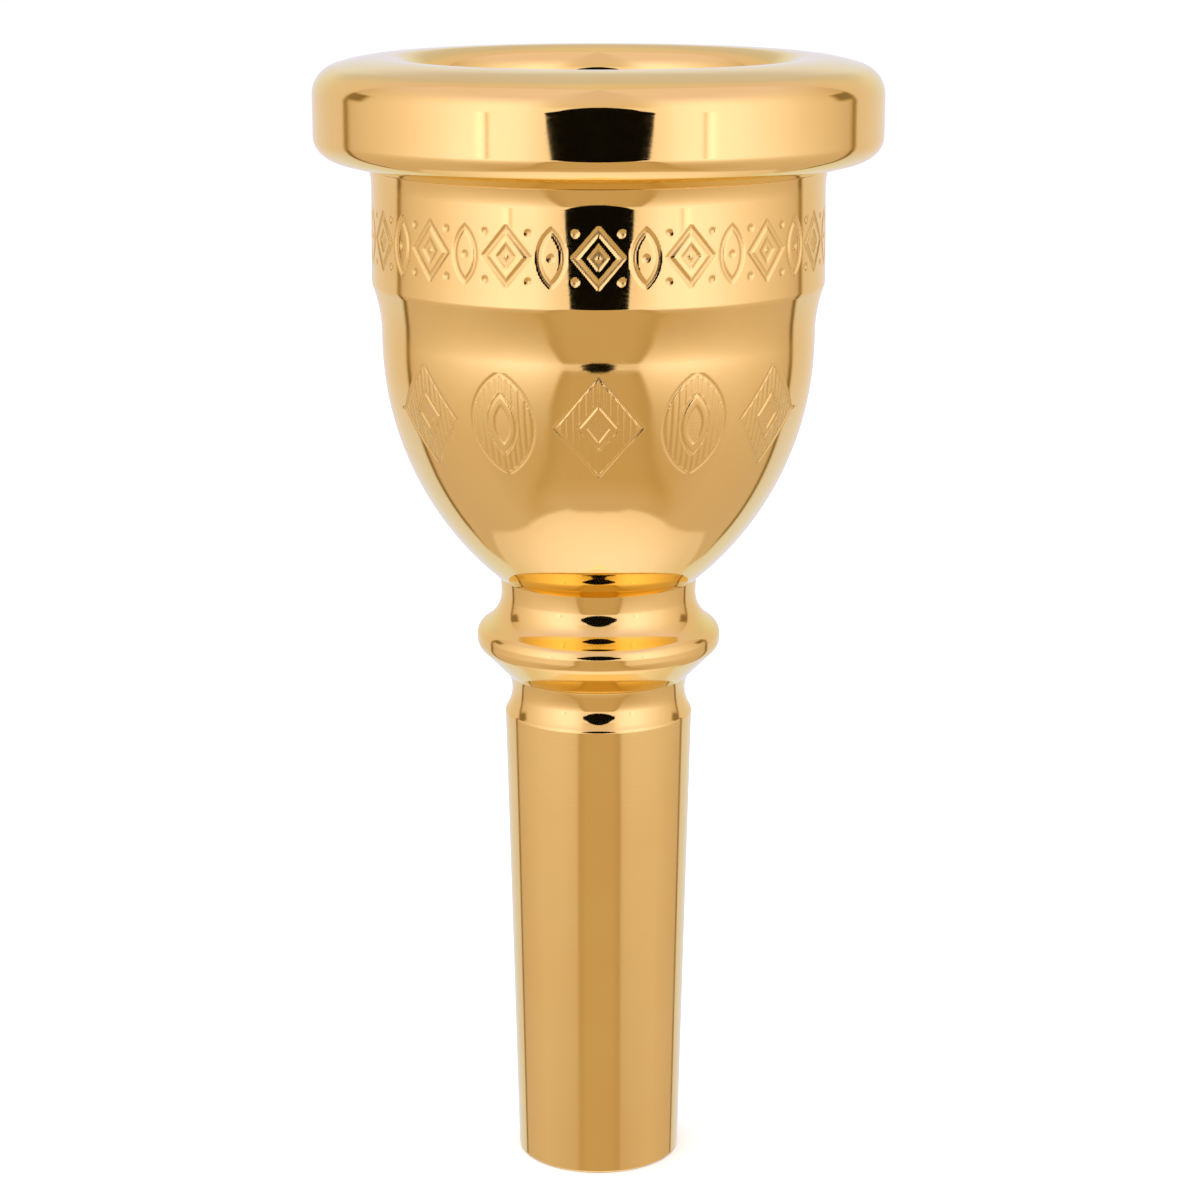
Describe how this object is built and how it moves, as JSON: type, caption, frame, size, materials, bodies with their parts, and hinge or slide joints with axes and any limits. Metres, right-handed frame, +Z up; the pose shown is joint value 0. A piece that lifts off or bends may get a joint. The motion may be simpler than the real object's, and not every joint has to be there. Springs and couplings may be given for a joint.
{
  "type": "brass mouthpiece",
  "caption": "Deep-cup low-brass mouthpiece with a rounded screw-on rim, an engraved bowl, a ringed neck and a tapered shank that plugs into the instrument.",
  "frame": {"origin": "centre of the shank's open end face, on the bore's axis", "axes": "+Z up along the bore, from the shank's open end to the rim; +X to the right as the engraved front is faced from -Y"},
  "size_m": [0.04, 0.04, 0.0814],
  "materials": {
    "polished_plate": "mirror-polished gold plate on brass",
    "turned_plate": "fine-turned gold plate on brass"
  },
  "bodies": {
    "shank": {"shank": "turned_plate"},
    "cup": {"cup": "polished_plate"},
    "rim": {"rim": "polished_plate"}
  },
  "joints": [
    {"name": "cup_unscrew", "type": "slide", "parent": "shank", "child": "cup", "axis": [0, 0, 1], "range_m": [0, 0.012]},
    {"name": "rim_unscrew", "type": "slide", "parent": "cup", "child": "rim", "axis": [0, 0, 1], "range_m": [0, 0.01]}
  ]
}
